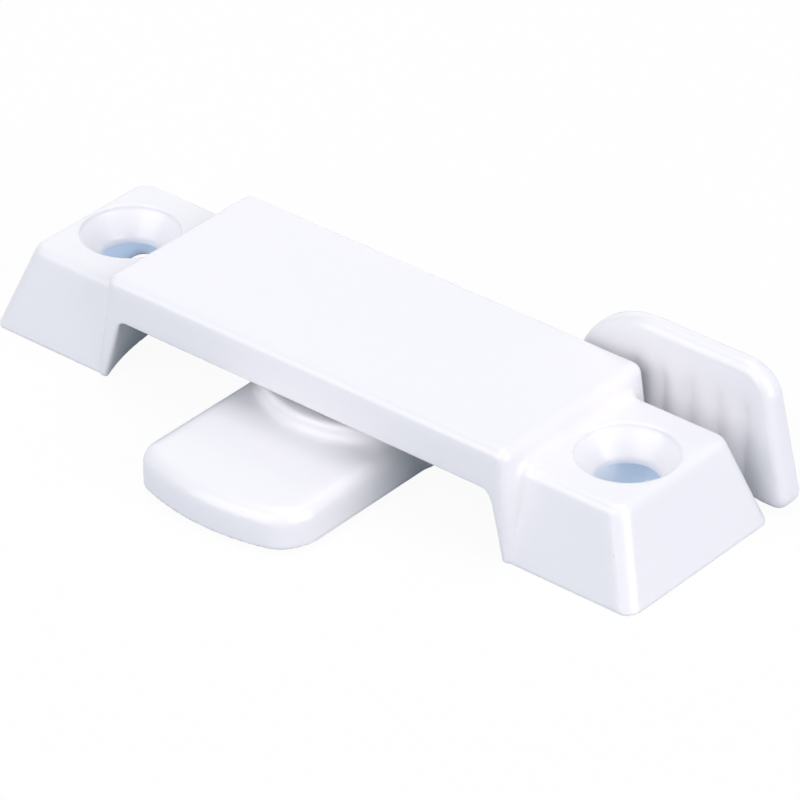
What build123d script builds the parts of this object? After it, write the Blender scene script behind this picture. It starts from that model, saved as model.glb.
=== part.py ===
"""Window lock for a double hung window: a cast housing with two screw feet and a
bridge, and a cast lever that turns under the bridge about a riveted pivot.

Millimetres. The origin is on the mounting plane, midway between the two screw holes,
on the pivot's axis. +X runs along the housing towards the foot beside the thumb tab,
+Y to the side of the thumb tab, +Z up. The lever is modelled locked, with its tongue
out over the -Y side.
"""

import os
from math import hypot, radians, tan

from build123d import *

os.makedirs("parts", exist_ok=True)

# Screw holes, for two flat-head No. 8 screws
screw_spacing = 52.39
screw_hole_radius = 2.55
screw_head_radius = 4.23
screw_head_lip = 0.3
screw_cone_angle = 82.0

# Feet, one long block with leaning sides and ends
foot_end_beyond_screw = 7.57
foot_height = 7.76
foot_end_lean = 19.9
foot_side_lean = 15.4
foot_corner_radius = 1.3
foot_edge_radius = 0.6

# Bridge, which stands a little proud of the feet's sides
bridge_height = 9.65
bridge_length = 44.2
bridge_width = 18.28
bridge_proud = 0.1
bridge_end_lean = 7.0
bridge_side_lean = 2.0
bridge_corner_radius = 0.95
bridge_edge_radius = 0.85
bridge_root_radius = 0.8

# Bay for the lever between the feet, its walls round about the pivot
bay_height = 5.81
bay_wall_lean = 14.0
leg_corner_width = 1.3
leg_corner_chamfer = 0.4

# Hollows of the casting
foot_roof = 2.75
foot_end_wall = 1.8
foot_side_wall = 1.45
leg_wall = 0.9
hollow_corner_radius = 1.0
bridge_roof = 1.95
skirt_wall = 1.7
recess_length = 36.0
recess_lean = 3.0
recess_corner_radius = 2.0
boss_radius = 5.0
rib_thickness = 1.4
rib_height = 1.2

# Lever plate: tongue, hub and arm in one
ground_clearance = 0.3
plate_top = 3.6
tongue_width = 16.8
tongue_reach = 20.8
tongue_left_corner_radius = 1.6
tongue_right_corner_radius = 2.4
plate_edge_radius = 1.4
hub_radius = 9.1
hub_rise = 1.4
hub_edge_radius = 0.5
hub_root_radius = 0.8
arm_width = 6.0
arm_inner_radius = 3.0

# Thumb tab on the arm's end
tab_gap = 0.5
tab_top = 12.65
tab_left_x = 12.9
tab_right_x = 34.5
tab_thickness = 2.8
tab_back_lean = 3.5
tab_end_lean = 10.2
tab_left_corner_radius = 7.6
tab_right_corner_radius = 2.6
tab_bottom_corner_radius = 1.4
tab_edge_radius = 0.88
tab_root_radius = 1.0

# Grip grooves in the tab's face, with round ribs between them
groove_count = 5
groove_pitch = 2.74
groove_depth = 0.4
groove_end_margin = 2.35
groove_top_margin = 2.2
groove_run_out = 3.0
rib_crest_depth = 0.08

# Pivot: a shouldered rivet, a flat washer and a bowed spring washer
rivet_shank_radius = 2.5
rivet_tail_radius = 1.9
rivet_tail_length = 2.8
rivet_hole_spare = 0.2
rivet_head_radius = 4.4
rivet_head_thickness = 1.1
rivet_head_recess = 0.3
rivet_edge_radius = 0.25
running_clearance = 0.06
counterbore_clearance = 0.7
flat_washer_thickness = 0.5
flat_washer_radius = 4.8
spring_washer_thickness = 0.35
spring_washer_bow = 0.4
spring_washer_radius = 4.2
spring_washer_play = 0.05
washer_bore_clearance = 0.15

# Places that follow from the sizes
end_slope = tan(radians(foot_end_lean))
side_slope = tan(radians(foot_side_lean))
foot_half_length = screw_spacing / 2 + foot_end_beyond_screw
foot_width = bridge_width - 2 * bridge_proud
bay_radius = hypot(bridge_length / 2 - leg_corner_width, bridge_width / 2)
bridge_top_length = bridge_length - 2 * bridge_height * tan(radians(bridge_end_lean))
bridge_top_width = bridge_width - 2 * bridge_height * tan(radians(bridge_side_lean))
bay_top_radius = bay_radius - bay_height * tan(radians(bay_wall_lean))
hollow_top = foot_height - foot_roof
hollow_half_length = foot_half_length - foot_end_wall
hollow_width = foot_width - 2 * foot_side_wall
recess_top = bridge_height - bridge_roof
hub_top = plate_top + hub_rise
boss_bottom = hub_top + flat_washer_thickness
rivet_head_bottom = ground_clearance + rivet_head_recess
rivet_head_top = rivet_head_bottom + rivet_head_thickness
spring_washer_height = spring_washer_bow + spring_washer_thickness
counterbore_top = rivet_head_top + spring_washer_height + spring_washer_play
counterbore_radius = rivet_head_radius + counterbore_clearance
washer_bore_radius = rivet_shank_radius + washer_bore_clearance
tab_front_y = bridge_width / 2 + tab_gap
tab_back_y = tab_front_y + tab_thickness
grip_right_x = tab_right_x - groove_end_margin
grip_length = groove_count * groove_pitch
grip_top = tab_top - groove_top_margin
edge_find = 0.01
root_overlap = 0.2
low = (Align.CENTER, Align.CENTER, Align.MIN)


# Hollow of both feet, seen from below, with round walls towards the bay
with BuildPart() as foot_hollows:
    with BuildSketch():
        Rectangle(2 * hollow_half_length, hollow_width)
    with BuildSketch(Plane.XY.offset(hollow_top)):
        Rectangle(
            2 * (hollow_half_length - hollow_top * end_slope),
            hollow_width - 2 * hollow_top * side_slope,
        )
    loft()
    Cylinder(bay_radius + leg_wall, hollow_top, align=low, mode=Mode.SUBTRACT)
    fillet(foot_hollows.edges().filter_by(Plane.XY, reverse=True), hollow_corner_radius)

# Housing
with BuildPart() as housing:
    # Feet
    with BuildSketch():
        RectangleRounded(2 * foot_half_length, foot_width, foot_corner_radius)
    with BuildSketch(Plane.XY.offset(foot_height)):
        RectangleRounded(
            2 * (foot_half_length - foot_height * end_slope),
            foot_width - 2 * foot_height * side_slope,
            foot_corner_radius,
        )
    loft()
    fillet(housing.faces().sort_by(Axis.Z)[-1].edges(), foot_edge_radius)
    # Bridge
    with BuildSketch():
        RectangleRounded(bridge_length, bridge_width, bridge_corner_radius)
    with BuildSketch(Plane.XY.offset(bridge_height)):
        RectangleRounded(bridge_top_length, bridge_top_width, bridge_corner_radius)
    loft()
    fillet(housing.faces().sort_by(Axis.Z)[-1].edges(), bridge_edge_radius)
    fillet(
        housing.edges()
        .filter_by_position(Axis.Z, foot_height - edge_find, foot_height + edge_find)
        .filter_by(lambda edge: abs(edge.center().X) < bridge_length / 2),
        bridge_root_radius,
    )
    # Bay for the lever
    Cone(bay_radius, bay_top_radius, bay_height, align=low, mode=Mode.SUBTRACT)
    chamfer(
        housing.edges()
        .filter_by(lambda edge: abs(edge.center().Z - bay_height / 2) < 1)
        .filter_by(lambda edge: abs(edge.center().X) < bay_radius),
        leg_corner_chamfer,
    )
    # Hollows
    add(foot_hollows.part, mode=Mode.SUBTRACT)
    with BuildSketch(Plane.XY.offset(bay_height)):
        RectangleRounded(recess_length, bridge_width - 2 * skirt_wall, recess_corner_radius)
    extrude(amount=recess_top - bay_height, taper=recess_lean, mode=Mode.SUBTRACT)
    # Ribs and boss under the bridge
    with BuildSketch(Plane.XY.offset(recess_top)):
        Rectangle(recess_length, rib_thickness)
        Rectangle(rib_thickness, bridge_width - 2 * skirt_wall)
    extrude(amount=-rib_height)
    with BuildSketch(Plane.XY.offset(boss_bottom)):
        Circle(boss_radius)
    extrude(until=Until.NEXT)
    # Rivet hole
    with Locations((0, 0, boss_bottom)):
        Cylinder(
            rivet_tail_radius,
            rivet_tail_length + rivet_hole_spare,
            align=low,
            mode=Mode.SUBTRACT,
        )
    # Screw holes
    with Locations((0, 0, foot_height - screw_head_lip)):
        with GridLocations(screw_spacing, 0, 2, 1):
            CounterSinkHole(screw_hole_radius, screw_head_radius, counter_sink_angle=screw_cone_angle)
            Cylinder(screw_head_radius, bridge_height, align=low, mode=Mode.SUBTRACT)
housing.part.label = "housing"

# Grip: what the grooves take out of the tab's face, less the round ribs between them
rib_radius = (groove_pitch**2 / 4 + groove_depth**2) / (2 * groove_depth)
rib_axis_y = tab_front_y + rib_crest_depth + rib_radius
with BuildPart() as grip_cut:
    with BuildSketch(Plane.YZ.offset(grip_right_x - grip_length)):
        with BuildLine():
            Polyline(
                (tab_front_y - tab_gap / 2, 0),
                (tab_front_y + groove_depth, 0),
                (tab_front_y + groove_depth, grip_top - groove_run_out),
                (tab_front_y, grip_top),
                (tab_front_y - tab_gap / 2, grip_top),
                close=True,
            )
        make_face()
    extrude(amount=grip_length)
    with Locations((grip_right_x - grip_length / 2, rib_axis_y, 0)):
        with GridLocations(groove_pitch, 0, groove_count + 1, 1):
            Cylinder(rib_radius, grip_top, align=low, mode=Mode.SUBTRACT)

# Thumb tab: a plate, thinner at the top, with one large and one small round top corner
tab_height = tab_top - ground_clearance
tab_back_slope = tan(radians(tab_back_lean))
tab_right_top_x = tab_right_x - tab_height * tan(radians(tab_end_lean))
with BuildPart() as thumb_tab:
    with BuildSketch(Plane.XZ.offset(-tab_front_y)) as outline:
        with BuildLine():
            Polyline(
                (tab_left_x, ground_clearance),
                (tab_right_x, ground_clearance),
                (tab_right_top_x, tab_top),
                (tab_left_x, tab_top),
                close=True,
            )
        make_face()
        fillet(outline.vertices().group_by(Axis.Y)[-1].sort_by(Axis.X)[0], tab_left_corner_radius)
        fillet(outline.vertices().group_by(Axis.Y)[-1].sort_by(Axis.X)[-1], tab_right_corner_radius)
        fillet(outline.vertices().group_by(Axis.Y)[0].sort_by(Axis.X)[-1], tab_bottom_corner_radius)
    extrude(amount=-tab_thickness)
    split(
        bisect_by=Plane((0, tab_back_y, ground_clearance), z_dir=(0, 1, tab_back_slope)),
        keep=Keep.BOTTOM,
    )
    fillet(
        thumb_tab.faces().sort_by(Axis.Y)[0].edges() + thumb_tab.faces().sort_by(Axis.Y)[-1].edges(),
        tab_edge_radius,
    )
    add(grip_cut.part, mode=Mode.SUBTRACT)

# Hub: a round boss with a hollow fillet at its foot, cut flat at the tongue's width
with BuildPart() as hub:
    with BuildSketch(Plane.XZ):
        with BuildLine():
            Polyline(
                (hub_radius - hub_edge_radius, hub_top),
                (0, hub_top),
                (0, ground_clearance),
                (hub_radius, ground_clearance),
                (hub_radius, plate_top - root_overlap),
                (hub_radius + hub_root_radius, plate_top - root_overlap),
                (hub_radius + hub_root_radius, plate_top),
            )
            RadiusArc(
                (hub_radius + hub_root_radius, plate_top),
                (hub_radius, plate_top + hub_root_radius),
                hub_root_radius,
            )
            Line(
                (hub_radius, plate_top + hub_root_radius),
                (hub_radius, hub_top - hub_edge_radius),
            )
            RadiusArc(
                (hub_radius, hub_top - hub_edge_radius),
                (hub_radius - hub_edge_radius, hub_top),
                -hub_edge_radius,
            )
        make_face()
    revolve(axis=Axis.Z)
    with BuildSketch():
        Rectangle(tongue_width, 3 * hub_radius)
    extrude(amount=hub_top, mode=Mode.INTERSECT)

# Lever
with BuildPart() as latch_lever:
    # Plate: the tongue, and the arm from the hub's side out to the tab
    with BuildSketch(Plane.XY.offset(ground_clearance)) as plate:
        Circle(tongue_reach)
        with Locations((0, -tongue_reach / 2)):
            Rectangle(tongue_width, tongue_reach, mode=Mode.INTERSECT)
        left_corner = plate.vertices().sort_by_distance((-tongue_width / 2, -tongue_reach))[0]
        fillet(left_corner, tongue_left_corner_radius)
        right_corner = plate.vertices().sort_by_distance((tongue_width / 2, -tongue_reach))[0]
        fillet(right_corner, tongue_right_corner_radius)
        with BuildLine():
            Polyline(
                (-tongue_width / 2, 0),
                (tongue_width / 2, -arm_inner_radius),
                (tongue_width / 2, 0),
                (tab_left_x + arm_width, tab_front_y),
                (tab_left_x + arm_width, tab_back_y - tab_edge_radius),
                (tab_left_x + tab_edge_radius, tab_back_y - tab_edge_radius),
                (0, hub_radius),
                close=True,
            )
        make_face()
        fillet(plate.vertices().sort_by_distance((tongue_width / 2, 0))[0], arm_inner_radius)
    extrude(amount=plate_top - ground_clearance)
    fillet(
        latch_lever.faces()
        .sort_by(Axis.Z)[-1]
        .edges()
        .filter_by(lambda edge: edge.center().Y < tab_front_y)
        .filter_by(lambda edge: edge.center().X > 0 or edge.center().Y < 0),
        plate_edge_radius,
    )
    add(hub.part)
    add(thumb_tab.part)
    # Fillet between the arm and the tab
    with BuildSketch(Plane.YZ.offset(tab_left_x + tab_edge_radius)):
        with BuildLine():
            Polyline(
                (tab_front_y, plate_top + tab_root_radius),
                (tab_front_y + tab_edge_radius, plate_top + tab_root_radius),
                (tab_front_y + tab_edge_radius, plate_top - root_overlap),
                (tab_front_y - tab_root_radius, plate_top - root_overlap),
                (tab_front_y - tab_root_radius, plate_top),
            )
            RadiusArc(
                (tab_front_y - tab_root_radius, plate_top),
                (tab_front_y, plate_top + tab_root_radius),
                tab_root_radius,
            )
        make_face()
    extrude(amount=arm_width - 2 * tab_edge_radius - plate_edge_radius)
    # Bore and counterbore for the pivot
    with Locations((0, 0, ground_clearance)):
        Cylinder(
            counterbore_radius,
            counterbore_top - ground_clearance,
            align=low,
            mode=Mode.SUBTRACT,
        )
        Cylinder(
            rivet_shank_radius + running_clearance,
            hub_top,
            align=low,
            mode=Mode.SUBTRACT,
        )
latch_lever.part.label = "latch_lever"

# Pivot rivet: head below, shank through the lever, thinner tail pressed into the boss
with BuildPart() as pivot_rivet:
    with BuildSketch(Plane.XY.offset(rivet_head_bottom)):
        Circle(rivet_head_radius)
    extrude(amount=rivet_head_thickness)
    fillet(pivot_rivet.edges().sort_by(Axis.Z)[0], rivet_edge_radius)
    with BuildSketch(Plane.XY.offset(rivet_head_top)):
        Circle(rivet_shank_radius)
    extrude(amount=boss_bottom - rivet_head_top)
    with BuildSketch(Plane.XY.offset(boss_bottom)):
        Circle(rivet_tail_radius)
    extrude(amount=rivet_tail_length)
    chamfer(pivot_rivet.edges().sort_by(Axis.Z)[-1], rivet_edge_radius)
pivot_rivet.part.label = "pivot_rivet"

# Flat washer between the hub and the boss
with BuildPart() as flat_washer:
    with BuildSketch(Plane.XY.offset(hub_top)):
        Circle(flat_washer_radius)
        Circle(washer_bore_radius, mode=Mode.SUBTRACT)
    extrude(amount=flat_washer_thickness)
flat_washer.part.label = "flat_washer"

# Spring washer: a flat ring bowed about the Y direction, resting on the rivet's head
bow_radius = (spring_washer_radius**2 + spring_washer_bow**2) / (2 * spring_washer_bow)
bow_axis_z = rivet_head_top + spring_washer_play / 2 + spring_washer_bow - bow_radius
with BuildPart() as spring_washer:
    with BuildSketch(Plane.XZ) as bow:
        with Locations((0, bow_axis_z)):
            Circle(bow_radius + spring_washer_thickness)
            Circle(bow_radius, mode=Mode.SUBTRACT)
    extrude(amount=spring_washer_radius, both=True)
    with BuildSketch(Plane.XY.offset(rivet_head_top)):
        Circle(spring_washer_radius)
        Circle(washer_bore_radius, mode=Mode.SUBTRACT)
    extrude(amount=spring_washer_height + spring_washer_play, mode=Mode.INTERSECT)
spring_washer.part.label = "spring_washer"

export_step(housing.part, "parts/housing.step")
export_step(latch_lever.part, "parts/latch_lever.step")
export_step(pivot_rivet.part, "parts/pivot_rivet.step")
export_step(flat_washer.part, "parts/flat_washer.step")
export_step(spring_washer.part, "parts/spring_washer.step")
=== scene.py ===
"""Looks of a double hung window lock: two white castings, a rivet and two washers.

Sizes are in millimetres unless a name or a docstring says otherwise. The frame is
the part's own: the origin on the mounting plane between the screw holes, +X towards
the foot beside the thumb tab, +Y to the thumb tab's side and +Z up.
"""

import logging
import math
from abc import ABC, abstractmethod
from dataclasses import dataclass, fields
from enum import Enum
from typing import ClassVar, Union

import bmesh
import bpy
from mathutils import Matrix, Vector

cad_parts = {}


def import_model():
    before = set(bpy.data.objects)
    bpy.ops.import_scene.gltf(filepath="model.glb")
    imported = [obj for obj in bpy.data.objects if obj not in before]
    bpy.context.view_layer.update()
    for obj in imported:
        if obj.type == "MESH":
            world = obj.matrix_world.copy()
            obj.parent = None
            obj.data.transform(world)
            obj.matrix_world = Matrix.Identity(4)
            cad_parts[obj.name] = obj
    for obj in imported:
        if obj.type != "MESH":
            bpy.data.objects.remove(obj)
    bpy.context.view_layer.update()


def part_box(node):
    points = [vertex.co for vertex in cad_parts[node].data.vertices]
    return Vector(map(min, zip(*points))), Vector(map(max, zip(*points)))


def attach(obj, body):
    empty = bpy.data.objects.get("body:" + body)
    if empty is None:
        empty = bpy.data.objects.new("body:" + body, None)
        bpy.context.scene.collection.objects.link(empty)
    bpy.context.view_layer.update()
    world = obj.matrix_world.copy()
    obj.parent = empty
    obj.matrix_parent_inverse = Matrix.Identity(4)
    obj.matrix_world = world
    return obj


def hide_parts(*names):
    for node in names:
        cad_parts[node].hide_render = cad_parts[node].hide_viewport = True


log = logging.getLogger("window lock")

MM = 0.001
# The Mix node's colour sockets share their names with others, so they go by number.
MIX_FIRST, MIX_SECOND, MIX_RESULT = 6, 7, 2
Amount = Union["Number", float]
Dot = tuple[float, float]
Spot = tuple[float, float, float]
Colour = tuple[float, float, float]


class Body(Enum):
    """The two bodies of the lock that move against each other."""

    BASE = "base"
    LEVER = "lever"


class Slot(Enum):
    """The material slots of the record, one named for each piece."""

    ENAMEL = "white_enamel"
    PLATED = "plated_steel"
    SPRING = "spring_steel"


class Ray(Enum):
    """Kinds of rays that the stage tells apart, by their Light Path outputs."""

    SEEN = "Is Camera Ray"
    GLOSSY = "Is Glossy Ray"
    THROUGH = "Is Transmission Ray"


class Shine(Enum):
    """The shaders that give light, one for a surface and one for the world."""

    SURFACE = "ShaderNodeEmission"
    WORLD = "ShaderNodeBackground"


# Numbers that a tree works out


class Number:
    """A number that a tree works out at each point, such as a distance to a skin."""

    def __init__(self, tree: bpy.types.NodeTree, socket: bpy.types.NodeSocket) -> None:
        """Keeps the tree and the socket that gives the number."""
        self.tree = tree
        self.socket = socket

    def step(self, operation: str, *others: Amount) -> "Number":
        """Adds one Math node.

        Args:
            operation: the Math node's operation.
            others: the second and third values, numbers of the tree or plain ones.

        Returns:
            The node's result.
        """
        node = self.tree.nodes.new("ShaderNodeMath")
        node.operation = operation
        for place, value in enumerate((self, *others)):
            if isinstance(value, Number):
                self.tree.links.new(value.socket, node.inputs[place])
            else:
                node.inputs[place].default_value = value
        return Number(self.tree, node.outputs[0])

    def __add__(self, other: Amount) -> "Number":
        """The sum."""
        return self.step("ADD", other)

    def __sub__(self, other: Amount) -> "Number":
        """The difference."""
        return self.step("SUBTRACT", other)

    def __rsub__(self, other: float) -> "Number":
        """The difference from a plain number."""
        return self.step("MULTIPLY_ADD", -1.0, other)

    def __mul__(self, other: Amount) -> "Number":
        """The product."""
        return self.step("MULTIPLY", other)

    def __truediv__(self, other: Amount) -> "Number":
        """The quotient."""
        return self.step("DIVIDE", other)

    def __neg__(self) -> "Number":
        """The number with its sign turned."""
        return self.step("MULTIPLY", -1.0)

    def __abs__(self) -> "Number":
        """The number without its sign."""
        return self.step("ABSOLUTE")

    def over(self, other: Amount) -> "Number":
        """The larger of the two."""
        return self.step("MAXIMUM", other)

    def under(self, other: Amount) -> "Number":
        """The smaller of the two."""
        return self.step("MINIMUM", other)

    def tangent(self) -> "Number":
        """The tangent of an angle in degrees."""
        return self.step("RADIANS").step("TANGENT")

    def cosine(self) -> "Number":
        """The cosine of an angle in degrees."""
        return self.step("RADIANS").step("COSINE")

    def ramp(self, low: Amount, high: Amount) -> "Number":
        """Goes smoothly from 0 to 1.

        Args:
            low: where it leaves 0.
            high: where it reaches 1.

        Returns:
            The share from 0 to 1.
        """
        node = self.tree.nodes.new("ShaderNodeMapRange")
        node.interpolation_type = "SMOOTHSTEP"
        self.tree.links.new(self.socket, node.inputs["Value"])
        for name, value in (("From Min", low), ("From Max", high)):
            if isinstance(value, Number):
                self.tree.links.new(value.socket, node.inputs[name])
            else:
                node.inputs[name].default_value = value
        return Number(self.tree, node.outputs["Result"])


def across(first: Number, second: Number) -> Number:
    """The length of a step that has these two legs."""
    return (first * first + second * second).step("SQRT")


def meet(first: Number, second: Number, radius: Amount) -> Number:
    """What is inside both skins, with the edge between them rounded.

    Args:
        first: distance out of the first skin.
        second: distance out of the second skin.
        radius: the edge's radius.

    Returns:
        Distance out of the common skin.
    """
    rim = across((first + radius).over(0.0), (second + radius).over(0.0))
    deep = -(first.over(second))
    return rim - deep.over(radius)


def join(first: Number, second: Number, radius: Amount) -> Number:
    """What is inside either skin, with a hollow fillet of that radius between them."""
    return -meet(-first, -second, radius)


def cut(first: Number, second: Number, radius: Amount) -> Number:
    """What is inside the first skin and outside the second, with a rounded edge."""
    return meet(first, -second, radius)


class Space:
    """Every point's place, and the sizes of a piece, as numbers of one tree."""

    def __init__(self, tree: bpy.types.NodeTree, names: list[str]) -> None:
        """Makes the place in millimetres and a named input for each size.

        Args:
            tree: the tree to write into.
            names: the names of the sizes.
        """
        self.tree = tree
        for name in names:
            tree.interface.new_socket(name, in_out="INPUT", socket_type="NodeSocketFloat")
        self.inputs = tree.nodes.new("NodeGroupInput")
        place = tree.nodes.new("GeometryNodeInputPosition")
        split = tree.nodes.new("ShaderNodeSeparateXYZ")
        tree.links.new(place.outputs[0], split.inputs[0])
        self.x = Number(tree, split.outputs[0]) / MM
        self.y = Number(tree, split.outputs[1]) / MM
        self.z = Number(tree, split.outputs[2]) / MM
        self.out = across(self.x, self.y)

    def __getattr__(self, name: str) -> Number:
        """The size of that name."""
        return Number(self.tree, self.inputs.outputs[name])

    def leaning(self, reach: Number, foot: Number, lean: Number, rise: Number) -> Number:
        """Distance out of a wall that leans inwards as it rises.

        Args:
            reach: how far out a point is.
            foot: how far out the wall's foot is.
            lean: the wall's angle from upright, in degrees.
            rise: the point's height above the wall's foot.

        Returns:
            The distance, measured square to the wall.
        """
        return (reach - foot + rise * lean.tangent()) * lean.cosine()


# Finishes


@dataclass(frozen=True)
class Finish(ABC):
    """A finish, made as one material of nodes on Object coordinates."""

    name: str
    colour: Colour
    roughness: float

    def material(self) -> bpy.types.Material:
        """Makes the material, or gives the one that was made before.

        Returns:
            The finish's material.
        """
        made = bpy.data.materials.get(self.name)
        if made:
            return made
        made = bpy.data.materials.new(self.name)
        made.use_nodes = True
        self.dress(made.node_tree, made.node_tree.nodes["Principled BSDF"])
        return made

    @abstractmethod
    def dress(self, tree: bpy.types.NodeTree, shader: bpy.types.Node) -> None:
        """Writes the finish's nodes.

        Args:
            tree: the material's tree.
            shader: its Principled BSDF.
        """

    def noise(self, tree: bpy.types.NodeTree, size: float, detail: float) -> bpy.types.NodeSocket:
        """A noise on Object coordinates.

        Args:
            tree: the material's tree.
            size: the size of its spots in millimetres.
            detail: the Noise node's detail.

        Returns:
            The noise, from 0 to 1.
        """
        place = tree.nodes.new("ShaderNodeTexCoord")
        node = tree.nodes.new("ShaderNodeTexNoise")
        node.inputs["Scale"].default_value = 1 / (size * MM)
        node.inputs["Detail"].default_value = detail
        tree.links.new(place.outputs["Object"], node.inputs["Vector"])
        return node.outputs["Fac"]

    def span(
        self, tree: bpy.types.NodeTree, share: bpy.types.NodeSocket, low: float, high: float
    ) -> bpy.types.NodeSocket:
        """Stretches a share of 0 to 1 over a span.

        Args:
            tree: the material's tree.
            share: the share.
            low: what 0 becomes.
            high: what 1 becomes.

        Returns:
            The stretched value.
        """
        node = tree.nodes.new("ShaderNodeMapRange")
        node.inputs["To Min"].default_value = low
        node.inputs["To Max"].default_value = high
        tree.links.new(share, node.inputs["Value"])
        return node.outputs["Result"]

    def tint(
        self, tree: bpy.types.NodeTree, share: bpy.types.NodeSocket, first: Colour, second: Colour
    ) -> bpy.types.NodeSocket:
        """Mixes two colours by a share.

        Args:
            tree: the material's tree.
            share: how much of the second colour there is.
            first: the colour at 0.
            second: the colour at 1.

        Returns:
            The mixed colour.
        """
        node = tree.nodes.new("ShaderNodeMix")
        node.data_type = "RGBA"
        node.inputs[MIX_FIRST].default_value = (*first, 1.0)
        node.inputs[MIX_SECOND].default_value = (*second, 1.0)
        tree.links.new(share, node.inputs["Factor"])
        return node.outputs[MIX_RESULT]

    def bump(
        self,
        tree: bpy.types.NodeTree,
        height: bpy.types.NodeSocket,
        depth: float,
        under: bpy.types.NodeSocket | None = None,
    ) -> bpy.types.NodeSocket:
        """Turns a height into a bumpy normal.

        Args:
            tree: the material's tree.
            height: the height from 0 to 1.
            depth: how deep 1 is, in millimetres.
            under: a bumpy normal to lay it over.

        Returns:
            The normal.
        """
        node = tree.nodes.new("ShaderNodeBump")
        node.inputs["Distance"].default_value = depth * MM
        tree.links.new(height, node.inputs["Height"])
        if under:
            tree.links.new(under, node.inputs["Normal"])
        return node.outputs["Normal"]


@dataclass(frozen=True)
class Enamel(Finish):
    """White baked enamel on a zinc casting: glossy, with a soft flow to its skin."""

    shade: Colour
    flow_size: float
    flow_depth: float
    grain_size: float
    grain_depth: float
    cloud_size: float = 20.0
    dull_size: float = 5.0
    soft_detail: float = 1.0
    fine_detail: float = 2.0
    glossier: float = 0.05
    duller: float = 0.07
    refraction: float = 1.5
    coat: float = 0.35
    coat_roughness: float = 0.12

    def dress(self, tree: bpy.types.NodeTree, shader: bpy.types.Node) -> None:
        """Writes the enamel's colour, gloss and flow.

        Args:
            tree: the material's tree.
            shader: its Principled BSDF.
        """
        link = tree.links.new
        clouds = self.noise(tree, self.cloud_size, self.soft_detail)
        link(self.tint(tree, clouds, self.colour, self.shade), shader.inputs["Base Color"])
        dull = self.noise(tree, self.dull_size, self.fine_detail)
        low, high = self.roughness - self.glossier, self.roughness + self.duller
        link(self.span(tree, dull, low, high), shader.inputs["Roughness"])
        flow = self.noise(tree, self.flow_size, self.soft_detail)
        grain = self.noise(tree, self.grain_size, self.fine_detail)
        waves = self.bump(tree, flow, self.flow_depth)
        link(self.bump(tree, grain, self.grain_depth, waves), shader.inputs["Normal"])
        shader.inputs["IOR"].default_value = self.refraction
        shader.inputs["Coat Weight"].default_value = self.coat
        shader.inputs["Coat Roughness"].default_value = self.coat_roughness


@dataclass(frozen=True)
class TurnedSteel(Finish):
    """Steel with the fine rings that turning or punching leaves about the pivot."""

    shade: Colour
    ring_pitch: float
    ring_depth: float
    ring_wander: float = 1.5
    ring_detail: float = 3.0
    cloud_size: float = 1.5
    cloud_detail: float = 4.0
    glossier: float = 0.06
    duller: float = 0.1

    def dress(self, tree: bpy.types.NodeTree, shader: bpy.types.Node) -> None:
        """Writes the steel's colour, rings and sheen.

        Args:
            tree: the material's tree.
            shader: its Principled BSDF.
        """
        link = tree.links.new
        place = tree.nodes.new("ShaderNodeTexCoord")
        rings = tree.nodes.new("ShaderNodeTexWave")
        rings.wave_type = "RINGS"
        rings.rings_direction = "Z"
        rings.inputs["Scale"].default_value = 1 / (self.ring_pitch * MM) / math.pi
        rings.inputs["Distortion"].default_value = self.ring_wander
        rings.inputs["Detail"].default_value = self.ring_detail
        link(place.outputs["Object"], rings.inputs["Vector"])
        clouds = self.noise(tree, self.cloud_size, self.cloud_detail)
        link(self.tint(tree, clouds, self.colour, self.shade), shader.inputs["Base Color"])
        low, high = self.roughness - self.glossier, self.roughness + self.duller
        link(self.span(tree, rings.outputs["Fac"], low, high), shader.inputs["Roughness"])
        fine = self.bump(tree, rings.outputs["Fac"], self.ring_depth)
        link(self.bump(tree, clouds, self.ring_depth, fine), shader.inputs["Normal"])
        shader.inputs["Metallic"].default_value = 1.0


# Castings


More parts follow.
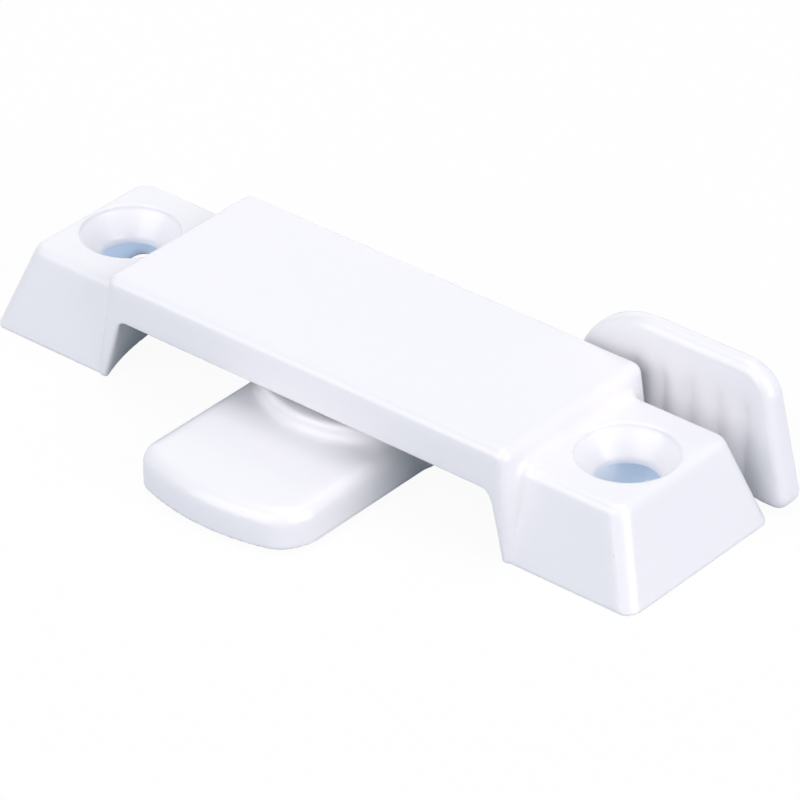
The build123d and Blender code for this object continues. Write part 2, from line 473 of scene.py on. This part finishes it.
@dataclass
class Casting(ABC):
    """A cast piece, whose skin a tree works out from its sizes.

    The tree measures the distance to the skin on a grid and lays the mesh where it is
    0. The grid's pitch is step, margin is how many steps the grid is larger than the
    piece on each side, outside is the value beyond it, and calm is how far flat
    stretches are made plainer.
    """

    node: ClassVar[str]
    body: ClassVar[Body]
    slot: ClassVar[Slot]
    step: ClassVar[float]
    calm: ClassVar[float] = 0.01
    margin: ClassVar[int] = 4
    outside: ClassVar[float] = -1.0

    @abstractmethod
    def skin(self, at: Space) -> Number:
        """Distance out of the casting's skin at each point.

        Args:
            at: the point's place and the casting's sizes.

        Returns:
            The distance in millimetres, below 0 inside the metal.
        """

    def tree(self, finish: Finish) -> bpy.types.NodeTree:
        """Writes the tree that makes the casting's mesh.

        Args:
            finish: what the casting is coated with.

        Returns:
            The tree, with an input for each size.
        """
        tree = bpy.data.node_groups.new(self.node, "GeometryNodeTree")
        tree.interface.new_socket("Mesh", in_out="OUTPUT", socket_type="NodeSocketGeometry")
        at = Space(tree, [size.name for size in fields(self)])
        low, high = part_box(self.node)
        rim = Vector((1, 1, 1)) * self.margin * self.step * MM
        volume = tree.nodes.new("GeometryNodeVolumeCube")
        volume.inputs["Min"].default_value = low - rim
        volume.inputs["Max"].default_value = high + rim
        volume.inputs["Background"].default_value = self.outside
        for axis, name in enumerate("XYZ"):
            count = (high - low + 2 * rim)[axis] / (self.step * MM)
            volume.inputs[f"Resolution {name}"].default_value = round(count) + 1
        tree.links.new((-self.skin(at)).socket, volume.inputs["Density"])
        mesh = tree.nodes.new("GeometryNodeVolumeToMesh")
        mesh.inputs["Threshold"].default_value = 0.0
        mesh.inputs["Adaptivity"].default_value = self.calm
        smooth = tree.nodes.new("GeometryNodeSetShadeSmooth")
        real = tree.nodes.new("GeometryNodeRealizeInstances")
        coat = tree.nodes.new("GeometryNodeSetMaterial")
        coat.inputs["Material"].default_value = finish.material()
        end = tree.nodes.new("NodeGroupOutput")
        tree.links.new(volume.outputs[0], mesh.inputs["Volume"])
        tree.links.new(mesh.outputs[0], smooth.inputs[0])
        tree.links.new(smooth.outputs[0], real.inputs[0])
        tree.links.new(real.outputs[0], coat.inputs[0])
        tree.links.new(coat.outputs[0], end.inputs[0])
        return tree

    def build(self, finish: Finish) -> bpy.types.Object:
        """Makes the casting and puts it in its node's place.

        Args:
            finish: what the casting is coated with.

        Returns:
            The finished object.
        """
        piece = bpy.data.objects.new(f"{self.node}_casting", bpy.data.meshes.new(self.node))
        bpy.context.scene.collection.objects.link(piece)
        modifier = piece.modifiers.new("casting", "NODES")
        modifier.node_group = self.tree(finish)
        for socket in modifier.node_group.interface.items_tree:
            if socket.in_out == "INPUT":
                modifier[socket.identifier] = float(getattr(self, socket.name))
        seen = piece.evaluated_get(bpy.context.evaluated_depsgraph_get())
        mesh = bpy.data.meshes.new_from_object(seen)
        piece.modifiers.remove(modifier)
        piece.data = mesh
        return place(piece, self.node, self.body, self.slot)


def place(piece: bpy.types.Object, node: str, body: Body, slot: Slot) -> bpy.types.Object:
    """Lets a piece ride on its body in the place of a node.

    Args:
        piece: the finished object.
        node: the node that it stands for.
        body: the body that it moves with.
        slot: the record's material slot; it is not used.

    Returns:
        The piece.
    """
    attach(piece, body.value)
    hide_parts(node)
    slot.value
    corners = [piece.matrix_world @ Vector(corner) for corner in piece.bound_box]
    size = [(max(c[i] for c in corners) - min(c[i] for c in corners)) / MM for i in range(3)]
    faces = sum(len(face.vertices) - 2 for face in piece.data.polygons)
    log.info("%s: %.2f x %.2f x %.2f mm, %d triangles", piece.name, *size, faces)
    return piece


@dataclass
class Housing(Casting):
    """The housing: two hollow screw feet and the bridge over the lever."""

    node: ClassVar[str] = "housing"
    body: ClassVar[Body] = Body.BASE
    slot: ClassVar[Slot] = Slot.ENAMEL
    step: ClassVar[float] = 0.13
    calm: ClassVar[float] = 0.02

    foot_half_length: float = 33.765
    foot_half_width: float = 9.04
    foot_height: float = 7.76
    foot_end_lean: float = 19.9
    foot_side_lean: float = 15.4
    foot_corner: float = 1.3
    foot_edge: float = 0.6
    bridge_half_length: float = 22.1
    bridge_half_width: float = 9.14
    bridge_height: float = 9.65
    bridge_end_lean: float = 7.0
    bridge_side_lean: float = 2.0
    bridge_corner: float = 0.95
    bridge_edge: float = 0.85
    bridge_root: float = 0.8
    root_least: float = 0.05
    root_start: float = 2.5
    root_full: float = 7.0
    bay_height: float = 5.81
    bay_radius: float = 22.719
    bay_wall_lean: float = 14.0
    bay_corner: float = 0.5
    leg_edge: float = 0.5
    lip_edge: float = 0.25
    lip_start: float = 4.61
    lip_full: float = 5.61
    hollow_height: float = 5.01
    hollow_half_length: float = 31.965
    hollow_half_width: float = 7.59
    hollow_corner: float = 1.0
    leg_wall: float = 0.9
    recess_half_length: float = 18.0
    recess_half_width: float = 7.44
    recess_top: float = 7.7
    recess_corner: float = 2.0
    roof_hold: float = 0.8
    rib_half_width: float = 0.7
    rib_height: float = 1.2
    boss_radius: float = 5.0
    boss_bottom: float = 5.5
    rivet_hole_radius: float = 1.9
    rivet_hole_depth: float = 3.0
    screw_half_spacing: float = 26.195
    screw_hole_radius: float = 2.55
    screw_head_radius: float = 4.23
    screw_head_lip: float = 0.36
    screw_cone_lean: float = 41.0
    rim_edge: float = 0.04
    base_edge: float = 0.05
    small_edge: float = 0.2

    def block(self, at: Space) -> Number:
        """The feet and the bridge as one solid block.

        Args:
            at: the point's place and the sizes.

        Returns:
            Distance out of the block.
        """
        along = abs(at.x)
        side = abs(at.y)
        foot = meet(
            at.leaning(along, at.foot_half_length, at.foot_end_lean, at.z),
            at.leaning(side, at.foot_half_width, at.foot_side_lean, at.z),
            at.foot_corner,
        )
        bridge = meet(
            at.leaning(along, at.bridge_half_length, at.bridge_end_lean, at.z),
            at.leaning(side, at.bridge_half_width, at.bridge_side_lean, at.z),
            at.bridge_corner,
        )
        root = at.bridge_root * at.z.ramp(at.root_start, at.root_full) + at.root_least
        return join(
            meet(foot, at.z - at.foot_height, at.foot_edge),
            meet(bridge, at.z - at.bridge_height, at.bridge_edge),
            root,
        )

    def underside(self, at: Space, block: Number) -> Number:
        """Takes the lever's bay and the hollows out of the block.

        Args:
            at: the point's place and the sizes.
            block: distance out of the block.

        Returns:
            Distance out of the hollow casting.
        """
        wall = at.leaning(at.out, at.bay_radius, at.bay_wall_lean, at.z)
        bay = meet(wall, at.z - at.bay_height, at.bay_corner)
        high = at.z.ramp(at.lip_start, at.lip_full)
        edge = at.leg_edge + (at.lip_edge - at.leg_edge) * high
        casting = cut(block, bay, edge)
        hollow = meet(
            at.leaning(abs(at.x), at.hollow_half_length, at.foot_end_lean, at.z),
            at.leaning(abs(at.y), at.hollow_half_width, at.foot_side_lean, at.z),
            at.hollow_corner,
        )
        hollow = meet(hollow, at.bay_radius + at.leg_wall - at.out, at.hollow_corner)
        hollow = meet(hollow, at.z - at.hollow_height, at.small_edge)
        casting = cut(casting, hollow, at.small_edge)
        recess = meet(
            abs(at.x) - at.recess_half_length,
            abs(at.y) - at.recess_half_width,
            at.recess_corner,
        )
        under_bridge = meet(recess, at.z - at.recess_top, at.small_edge)
        casting = cut(casting, under_bridge, at.small_edge)
        rib = abs(at.x).under(abs(at.y)) - at.rib_half_width
        rib = rib.over(recess).over(at.recess_top - at.rib_height - at.z)
        boss = (at.out - at.boss_radius).over(at.boss_bottom - at.z)
        inside = at.z - (at.recess_top + at.roof_hold)
        return join(casting, rib.under(boss).over(inside), at.small_edge)

    def skin(self, at: Space) -> Number:
        """The whole housing, with its screw holes and the rivet's hole.

        Args:
            at: the point's place and the sizes.

        Returns:
            Distance out of the housing.
        """
        casting = self.underside(at, self.block(at))
        rivet_end = at.z - at.boss_bottom - at.rivet_hole_depth
        rivet_hole = (at.out - at.rivet_hole_radius).over(rivet_end)
        casting = casting.over(-rivet_hole)
        hole = across(abs(at.x) - at.screw_half_spacing, at.y)
        below = at.foot_height - at.screw_head_lip - at.z
        cone = at.leaning(hole, at.screw_head_radius, at.screw_cone_lean, below)
        seat = cone.over(hole - at.screw_head_radius)
        screw = join(seat, hole - at.screw_hole_radius, at.small_edge)
        return cut(cut(casting, screw, at.rim_edge), at.z, at.base_edge)


@dataclass
class LatchLever(Casting):
    """The lever: tongue, hub, arm and ribbed thumb tab in one casting."""

    node: ClassVar[str] = "latch_lever"
    body: ClassVar[Body] = Body.LEVER
    slot: ClassVar[Slot] = Slot.ENAMEL
    step: ClassVar[float] = 0.16

    bottom: float = 0.3
    plate_top: float = 3.6
    plate_edge: float = 1.4
    tongue_half_width: float = 8.4
    tongue_reach: float = 20.8
    tongue_left_corner: float = 1.6
    tongue_right_corner: float = 2.4
    hub_radius: float = 9.1
    hub_top: float = 5.0
    hub_edge: float = 0.5
    hub_root: float = 0.8
    root_least: float = 0.02
    root_fade: float = 1.5
    arm_end: float = 18.9
    arm_back: float = 11.56
    arm_back_run: float = 13.78
    arm_inner: float = 3.0
    tab_front: float = 9.64
    tab_back: float = 12.425
    tab_top: float = 12.65
    tab_left: float = 12.9
    tab_right: float = 34.46
    tab_back_lean: float = 3.5
    tab_end_lean: float = 10.2
    tab_left_corner: float = 7.6
    tab_right_corner: float = 2.6
    tab_bottom_corner: float = 1.4
    tab_edge: float = 0.88
    tab_root: float = 1.0
    rib_pitch: float = 2.74
    rib_radius: float = 2.546
    rib_crest: float = 0.08
    groove_depth: float = 0.4
    grip_left: float = 17.81
    grip_right: float = 31.51
    grip_top: float = 10.45
    grip_fade: float = 3.0
    grip_over: float = 0.3
    grip_full: float = 0.1
    bore_radius: float = 2.56
    counterbore_radius: float = 5.1
    counterbore_top: float = 2.5
    bore_edge: float = 0.1
    small_edge: float = 0.15

    def plate(self, at: Space) -> Number:
        """The tongue and the arm as one flat plate.

        Args:
            at: the point's place and the sizes.

        Returns:
            Distance out of the plate.
        """
        end = at.out - at.tongue_reach
        tongue = meet(end, -at.x - at.tongue_half_width, at.tongue_left_corner)
        tongue = tongue.over(meet(end, at.x - at.tongue_half_width, at.tongue_right_corner))
        right = self.line(at, (at.tongue_half_width, 0.0), (at.arm_end, at.tab_front))
        left = -self.line(at, (0.0, at.hub_radius), (at.arm_back_run, at.arm_back))
        arm = right.over(left).over(at.x - at.arm_end).over(at.y - at.arm_back).over(-at.x)
        outline = join(tongue.over(at.y), arm, at.arm_inner)
        return meet(outline, at.z - at.plate_top, at.plate_edge)

    def line(self, at: Space, start: tuple[Amount, Amount], end: tuple[Amount, Amount]) -> Number:
        """Distance to the right of a line seen from above.

        Args:
            at: the point's place.
            start: a point of the line.
            end: a second point of it.

        Returns:
            The distance, below 0 on the line's left.
        """
        dx, dy = end[0] - start[0], end[1] - start[1]
        run = across(dx, dy)
        return (at.x - start[0]) * (dy / run) - (at.y - start[1]) * (dx / run)

    def hub(self, at: Space) -> Number:
        """The round hub, flat at the tongue's width."""
        disc = meet(at.out - at.hub_radius, abs(at.x) - at.tongue_half_width, at.hub_edge)
        return meet(disc, at.z - at.hub_top, at.hub_edge)

    def ribs(self, at: Space) -> Number:
        """How far the tab's face lies back, with round ribs between the grooves.

        Args:
            at: the point's place and the sizes.

        Returns:
            The depth below the tab's plain face.
        """
        off = (at.x - at.grip_left).step("PINGPONG", at.rib_pitch / 2)
        half_chord = (at.rib_radius * at.rib_radius - off * off).over(0.0)
        round_back = at.rib_radius - half_chord.step("SQRT")
        depth = (round_back + at.rib_crest).under(at.groove_depth)
        fade = (at.grip_top - at.z).ramp(0.0, at.grip_fade)
        left = (at.x - at.grip_left).ramp(-at.grip_over, at.grip_full)
        right = (at.grip_right - at.x).ramp(-at.grip_over, at.grip_full)
        return depth * fade * (left * right)

    def tab(self, at: Space) -> Number:
        """The thumb tab with its grip.

        Args:
            at: the point's place and the sizes.

        Returns:
            Distance out of the tab.
        """
        rise = at.z - at.bottom
        left = at.tab_left - at.x
        top = at.z - at.tab_top
        right = at.leaning(at.x, at.tab_right, at.tab_end_lean, rise)
        outline = meet(left, top, at.tab_left_corner).over(meet(right, top, at.tab_right_corner))
        outline = outline.over(meet(right, -rise, at.tab_bottom_corner))
        front = at.tab_front + self.ribs(at) - at.y
        back = at.leaning(at.y, at.tab_back, at.tab_back_lean, rise)
        return meet(meet(outline, back, at.tab_edge), front, at.tab_edge)

    def skin(self, at: Space) -> Number:
        """The whole lever, with its bore and the room for the rivet's head.

        Args:
            at: the point's place and the sizes.

        Returns:
            Distance out of the lever.
        """
        fade = (at.tongue_half_width - abs(at.x)).ramp(0.0, at.root_fade)
        lever = join(self.plate(at), self.hub(at), at.hub_root * fade + at.root_least)
        lever = join(lever, self.tab(at), at.tab_root)
        lever = cut(lever, at.z - at.bottom, at.small_edge)
        head_room = (at.out - at.counterbore_radius).over(at.z - at.counterbore_top)
        return cut(lever, (at.out - at.bore_radius).under(head_room), at.bore_edge)


# Pivot


@dataclass
class Ring:
    """A turned or punched piece about the pivot, made by turning its outline."""

    node: str
    slot: Slot
    outline: list[Dot]
    turns: int = 96
    bow: float = 0.0
    same_place: float = 0.001
    sharp_angle: float = 35.0

    def build(self, finish: Finish) -> bpy.types.Object:
        """Turns the outline and puts the piece in its node's place.

        Args:
            finish: what the piece is made of.

        Returns:
            The finished object.
        """
        shape = bmesh.new()
        ring = [shape.verts.new((radius * MM, 0.0, height * MM)) for radius, height in self.outline]
        edges = [shape.edges.new((a, b)) for a, b in zip(ring, ring[1:])]
        bmesh.ops.spin(
            shape,
            geom=ring + edges,
            axis=(0, 0, 1),
            cent=(0, 0, 0),
            steps=self.turns,
            angle=math.tau,
            use_merge=True,
        )
        bmesh.ops.remove_doubles(shape, verts=shape.verts, dist=self.same_place * MM)
        bmesh.ops.recalc_face_normals(shape, faces=shape.faces)
        if self.bow:
            span = max(radius for radius, _ in self.outline)
            for vert in shape.verts:
                vert.co.z -= self.bow * MM * (vert.co.x / (span * MM)) ** 2
        mesh = bpy.data.meshes.new(self.node)
        shape.to_mesh(mesh)
        shape.free()
        mesh.materials.append(finish.material())
        mesh.shade_smooth()
        mesh.set_sharp_from_angle(angle=math.radians(self.sharp_angle))
        piece = bpy.data.objects.new(f"{self.node}_turned", mesh)
        bpy.context.scene.collection.objects.link(piece)
        return place(piece, self.node, Body.BASE, self.slot)


@dataclass
class Pivot:
    """The rivet and the two washers that hold the lever under the bridge."""

    head_bottom: float = 0.6
    head_top: float = 1.7
    head_radius: float = 4.4
    head_edge: float = 0.25
    shank_radius: float = 2.5
    shank_top: float = 5.5
    tail_radius: float = 1.9
    tail_top: float = 8.3
    washer_bottom: float = 5.0
    washer_top: float = 5.5
    washer_radius: float = 4.8
    washer_bore: float = 2.65
    washer_edge: float = 0.1
    spring_radius: float = 4.2
    spring_low: float = 1.725
    spring_bow: float = 0.4
    spring_thickness: float = 0.35
    spring_edge: float = 0.08
    arc_steps: int = 6

    def corner(self, centre: Dot, radius: float, start: float) -> list[Dot]:
        """A quarter of a circle of an outline.

        Args:
            centre: the circle's centre.
            radius: its radius.
            start: the angle that it starts at, in degrees.

        Returns:
            Its points, from start on for a quarter turn.
        """
        count = self.arc_steps
        out, up = centre
        turns = [math.radians(start + 90 * step / count) for step in range(count + 1)]
        return [(out + radius * math.cos(a), up + radius * math.sin(a)) for a in turns]

    def ring(self, low: float, high: float, bore: float, radius: float, edge: float) -> list[Dot]:
        """The closed outline of a flat ring with a rounded outer rim.

        Args:
            low: the height of its underside.
            high: the height of its top.
            bore: the hole's radius.
            radius: the ring's radius.
            edge: the radius that its outer rim is rounded to.

        Returns:
            The outline's points, as radius and height.
        """
        return [
            (bore, low),
            *self.corner((radius - edge, low + edge), edge, -90),
            *self.corner((radius - edge, high - edge), edge, 0),
            (bore, high),
            (bore, low),
        ]

    def build(self, plated: Finish, spring: Finish) -> list[bpy.types.Object]:
        """Makes the rivet and both washers.

        Args:
            plated: the rivet's and the flat washer's finish.
            spring: the spring washer's finish.

        Returns:
            The three pieces.
        """
        rim = (self.head_radius - self.head_edge, self.head_bottom + self.head_edge)
        rivet = [
            (0.0, self.head_bottom),
            *self.corner(rim, self.head_edge, -90),
            (self.head_radius, self.head_top),
            (self.shank_radius, self.head_top),
            (self.shank_radius, self.shank_top),
            (self.tail_radius, self.shank_top),
            (self.tail_radius, self.tail_top - self.head_edge),
            (self.tail_radius - self.head_edge, self.tail_top),
            (0.0, self.tail_top),
        ]
        low, high = self.washer_bottom, self.washer_top
        washer = self.ring(low, high, self.washer_bore, self.washer_radius, self.washer_edge)
        low = self.spring_low + self.spring_bow
        high = low + self.spring_thickness
        bowed = self.ring(low, high, self.washer_bore, self.spring_radius, self.spring_edge)
        return [
            Ring("pivot_rivet", Slot.PLATED, rivet).build(plated),
            Ring("flat_washer", Slot.PLATED, washer).build(plated),
            Ring("spring_washer", Slot.SPRING, bowed, bow=self.spring_bow).build(spring),
        ]


# Stage


@dataclass(frozen=True)
class Lamp:
    """A soft square lamp aimed at the lock, in metres and watts."""

    name: str
    place: Spot
    width: float
    power: float
    colour: Colour
    aim: Spot = (0.0, 0.0, 0.0)

    def hang(self) -> bpy.types.Object:
        """Hangs the lamp in its place.

        Returns:
            The lamp.
        """
        light = bpy.data.lights.new(self.name, "AREA")
        light.shape = "SQUARE"
        light.size = self.width
        light.energy = self.power
        light.color = self.colour
        lamp = bpy.data.objects.new(self.name, light)
        lamp.location = self.place
        ahead = Vector(self.aim) - Vector(self.place)
        lamp.rotation_euler = ahead.to_track_quat("-Z", "Y").to_euler()
        bpy.context.scene.collection.objects.link(lamp)
        return lamp


@dataclass(frozen=True)
class Viewpoint:
    """The photograph's camera: its angles in degrees, its other sizes in millimetres."""

    azimuth: float = 40.45
    height: float = 32.612
    roll: float = -0.397
    lens: float = 266.006
    sensor: float = 36.0
    shift_right: float = 2.229
    shift_up: float = 1.592
    distance: float = 478.472
    nearest: float = 10.0
    farthest: float = 20000.0

    def mount(self) -> bpy.types.Object:
        """Makes the camera and gives it to the scene.

        Returns:
            The camera.
        """
        turn, dip, roll = (math.radians(a) for a in (self.azimuth, self.height, self.roll))
        level = Vector((math.cos(turn), math.sin(turn), 0))
        forward = Vector((-math.sin(turn), math.cos(turn), 0))
        ahead = forward * math.cos(dip) - Vector((0, 0, math.sin(dip)))
        upright = level.cross(ahead)
        right = math.cos(roll) * level + math.sin(roll) * upright
        upper = math.cos(roll) * upright - math.sin(roll) * level
        spot = right * self.shift_right + upper * self.shift_up - ahead * self.distance
        data = bpy.data.cameras.new("camera")
        data.lens = self.lens
        data.sensor_width = self.sensor
        data.clip_start = self.nearest * MM
        data.clip_end = self.farthest * MM
        camera = bpy.data.objects.new("camera", data)
        axes = Matrix((right, upper, -ahead)).transposed().to_4x4()
        camera.matrix_world = Matrix.Translation(spot * MM) @ axes
        bpy.context.scene.collection.objects.link(camera)
        bpy.context.scene.camera = camera
        return camera


@dataclass
class Stage:
    """The white floor, the white surroundings and the lamps.

    The eye sees a white floor with a faint shadow, and a gloss sees it as it is lit.
    All other light meets a greyer floor. Under the hollow feet the floor is a painted
    pale blue glow, which lights the hollows though it is no lamp, and to the eye a
    painted blue-grey shade, so the screw holes look blue-grey. The floor's half width
    is in metres.
    """

    floor_half_width: float = 3.0
    floor_seen: Colour = (0.95, 0.95, 0.95)
    floor_bounce: Colour = (0.44, 0.5, 0.55)
    floor_glow: float = 0.94
    feet_start: float = 23.3
    feet_end: float = 31.3
    feet_half_width: float = 7.6
    feet_painted_glow: Colour = (0.58, 0.76, 1.0)
    feet_painted_glow_strength: float = 0.93
    feet_painted_shade: Colour = (0.6, 0.67, 0.76)
    sky: Colour = (0.42, 0.79, 1.0)
    sky_strength: float = 0.31
    white: Colour = (1.0, 1.0, 1.0)

    def rays(self, tree: bpy.types.NodeTree, *kinds: Ray) -> Number:
        """Tells rays of some kinds from all others.

        Args:
            tree: the material's or the world's tree.
            kinds: the kinds of rays.

        Returns:
            1 for a ray of any of the kinds, or else 0.
        """
        path = tree.nodes.new("ShaderNodeLightPath")
        share = Number(tree, path.outputs[kinds[0].value])
        for kind in kinds[1:]:
            share = share.over(Number(tree, path.outputs[kind.value]))
        return share

    def light(
        self, tree: bpy.types.NodeTree, kind: Shine, colour: Colour, strength: float = 1.0
    ) -> bpy.types.NodeSocket:
        """A shader that shines.

        Args:
            tree: the material's or the world's tree.
            kind: whether a surface or the world shines.
            colour: its colour.
            strength: its strength.

        Returns:
            The shader.
        """
        node = tree.nodes.new(kind.value)
        node.inputs["Color"].default_value = (*colour, 1)
        node.inputs["Strength"].default_value = strength
        return node.outputs[0]

    def matt(self, tree: bpy.types.NodeTree, colour: Colour) -> bpy.types.NodeSocket:
        """A matt shader.

        Args:
            tree: the material's tree.
            colour: its colour.

        Returns:
            The shader.
        """
        node = tree.nodes.new("ShaderNodeBsdfDiffuse")
        node.inputs["Color"].default_value = (*colour, 1)
        return node.outputs[0]

    def blend(
        self,
        tree: bpy.types.NodeTree,
        share: Number,
        first: bpy.types.NodeSocket,
        second: bpy.types.NodeSocket,
    ) -> bpy.types.NodeSocket:
        """Mixes two shaders by a share.

        Args:
            tree: the material's or the world's tree.
            share: how much of the second shader there is.
            first: the shader at 0.
            second: the shader at 1.

        Returns:
            The mixed shader.
        """
        node = tree.nodes.new("ShaderNodeMixShader")
        for place, socket in enumerate((share.socket, first, second)):
            tree.links.new(socket, node.inputs[place])
        return node.outputs[0]

    def feet(self, tree: bpy.types.NodeTree) -> Number:
        """Tells the floor under the hollow feet, where the painted glow and the painted shade go.

        Args:
            tree: the floor's tree.

        Returns:
            1 under the feet, or else 0.
        """
        place = tree.nodes.new("ShaderNodeTexCoord")
        split = tree.nodes.new("ShaderNodeSeparateXYZ")
        tree.links.new(place.outputs["Object"], split.inputs[0])
        along = abs(Number(tree, split.outputs["X"])) / MM
        side = abs(Number(tree, split.outputs["Y"])) / MM
        outside = (along - self.feet_end).over(side - self.feet_half_width)
        outside = outside.over(self.feet_start - across(along, side))
        return outside.step("LESS_THAN", 0.0)

    def floor_finish(self) -> bpy.types.Material:
        """Makes the floor's material.

        Returns:
            The material.
        """
        material = bpy.data.materials.new("floor_white")
        material.use_nodes = True
        tree = material.node_tree
        tree.nodes.clear()
        lit = self.matt(tree, self.floor_seen)
        white = self.light(tree, Shine.SURFACE, self.white)
        glow = self.rays(tree, Ray.SEEN, Ray.THROUGH) * self.floor_glow
        shown = self.blend(tree, glow, lit, white)
        direct = self.rays(tree, Ray.SEEN, Ray.GLOSSY, Ray.THROUGH)
        plain = self.blend(tree, direct, self.matt(tree, self.floor_bounce), shown)
        # Painted glow: under the feet the floor shines pale blue and lights the hollows from below,
        # where no lamp is.
        inside = self.light(tree, Shine.SURFACE, self.feet_painted_glow, self.feet_painted_glow_strength)
        # Painted shade: the eye sees the floor under the feet as a blue-grey shade rather than
        # white, and all other rays meet the painted glow.
        shade = self.light(tree, Shine.SURFACE, self.feet_painted_shade)
        hollow = self.blend(tree, self.rays(tree, Ray.SEEN), inside, shade)
        end = tree.nodes.new("ShaderNodeOutputMaterial")
        tree.links.new(self.blend(tree, self.feet(tree), plain, hollow), end.inputs["Surface"])
        return material

    def floor(self) -> bpy.types.Object:
        """Lays the floor, which keeps a faint shadow.

        Returns:
            The floor.
        """
        half = self.floor_half_width
        mesh = bpy.data.meshes.new("floor")
        corners = [(-half, -half, 0), (half, -half, 0), (half, half, 0), (-half, half, 0)]
        mesh.from_pydata(corners, [], [(0, 1, 2, 3)])
        mesh.materials.append(self.floor_finish())
        floor = bpy.data.objects.new("floor", mesh)
        bpy.context.scene.collection.objects.link(floor)
        return floor

    def surroundings(self) -> None:
        """Makes the world white to the eye and a soft cool light to the lock."""
        world = bpy.data.worlds.new("surroundings")
        world.use_nodes = True
        tree = world.node_tree
        tree.nodes.clear()
        soft = self.light(tree, Shine.WORLD, self.sky, self.sky_strength)
        white = self.light(tree, Shine.WORLD, self.white)
        direct = self.rays(tree, Ray.SEEN, Ray.GLOSSY, Ray.THROUGH)
        end = tree.nodes.new("ShaderNodeOutputWorld")
        tree.links.new(self.blend(tree, direct, soft, white), end.inputs["Surface"])
        bpy.context.scene.world = world

    def lamps(self) -> list[bpy.types.Object]:
        """Hangs the lamps.

        Returns:
            The lamps.
        """
        lamps = [
            Lamp("top", (-0.1, 0.2, 0.77), width=0.55, power=2.4, colour=(1.0, 0.87, 0.845)),
            Lamp("front", (-0.17, -0.68, 0.38), width=0.75, power=4.2, colour=(1.0, 0.875, 0.87)),
            Lamp("right", (1.22, 0.0, 0.42), width=1.1, power=13.6, colour=(1.0, 0.88, 0.87)),
            Lamp("back", (-0.5, 0.57, 0.22), width=0.8, power=1.45, colour=(1.0, 0.87, 0.85)),
        ]
        return [lamp.hang() for lamp in lamps]

    def build(self) -> None:
        """Sets the whole stage up."""
        self.floor()
        self.surroundings()
        self.lamps()
        bpy.context.scene.view_settings.view_transform = "Standard"


def main() -> None:
    """Builds the lock, its stage and its camera."""
    logging.basicConfig(level=logging.INFO, format="%(message)s")
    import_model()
    enamel = Enamel(
        name="white_enamel_finish",
        colour=(0.88, 0.88, 0.9),
        roughness=0.34,
        shade=(0.874, 0.875, 0.896),
        flow_size=1.3,
        flow_depth=0.0018,
        grain_size=0.3,
        grain_depth=0.0005,
    )
    plated = TurnedSteel(
        name="plated_steel_finish",
        colour=(0.74, 0.74, 0.72),
        roughness=0.3,
        shade=(0.66, 0.66, 0.66),
        ring_pitch=0.16,
        ring_depth=0.002,
    )
    spring = TurnedSteel(
        name="spring_steel_finish",
        colour=(0.42, 0.43, 0.46),
        roughness=0.36,
        shade=(0.34, 0.35, 0.38),
        ring_pitch=0.12,
        ring_depth=0.002,
    )
    Housing().build(enamel)
    LatchLever().build(enamel)
    Pivot().build(plated, spring)
    Stage().build()
    Viewpoint().mount()


if __name__ == "__main__":
    main()
